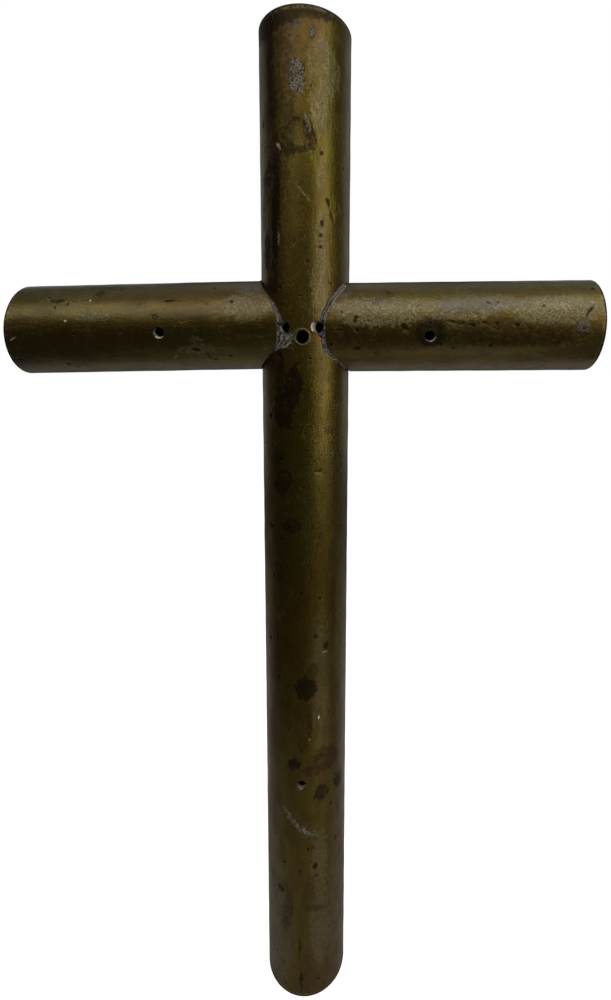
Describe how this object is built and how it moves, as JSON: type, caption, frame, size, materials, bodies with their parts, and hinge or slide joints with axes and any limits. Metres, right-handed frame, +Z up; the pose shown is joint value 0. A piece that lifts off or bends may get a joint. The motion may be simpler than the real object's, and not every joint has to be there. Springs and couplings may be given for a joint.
{
  "type": "bronze tube cross",
  "caption": "Plain hand-made grave cross of round bronze tube with a long upright, short soldered arms, open sawn ends and small drilled pin holes in its front.",
  "frame": {"origin": "centre of the foot's cut end, on the upright's axis", "axes": "+Z up along the upright, the drilled front faces -Y, the arms lie along X"},
  "size_m": [0.1943, 0.0305, 0.3439],
  "materials": {
    "upright_bronze": "dark brown-olive patina with dull stains, pits and a rubbed golden tone along the front",
    "left_arm_bronze": "dark brown-olive patina with light scratches",
    "right_arm_bronze": "dark brown-olive patina with pits and a dark stain round the pin hole",
    "left_solder": "dull silver-grey soft solder, uneven",
    "right_solder": "dull silver-grey soft solder, uneven, with a greenish tinge"
  },
  "bodies": {
    "root": {"upright_tube": "upright_bronze", "left_arm_tube": "left_arm_bronze", "right_arm_tube": "right_arm_bronze", "left_solder_seam": "left_solder", "right_solder_seam": "right_solder"}
  },
  "joints": []
}
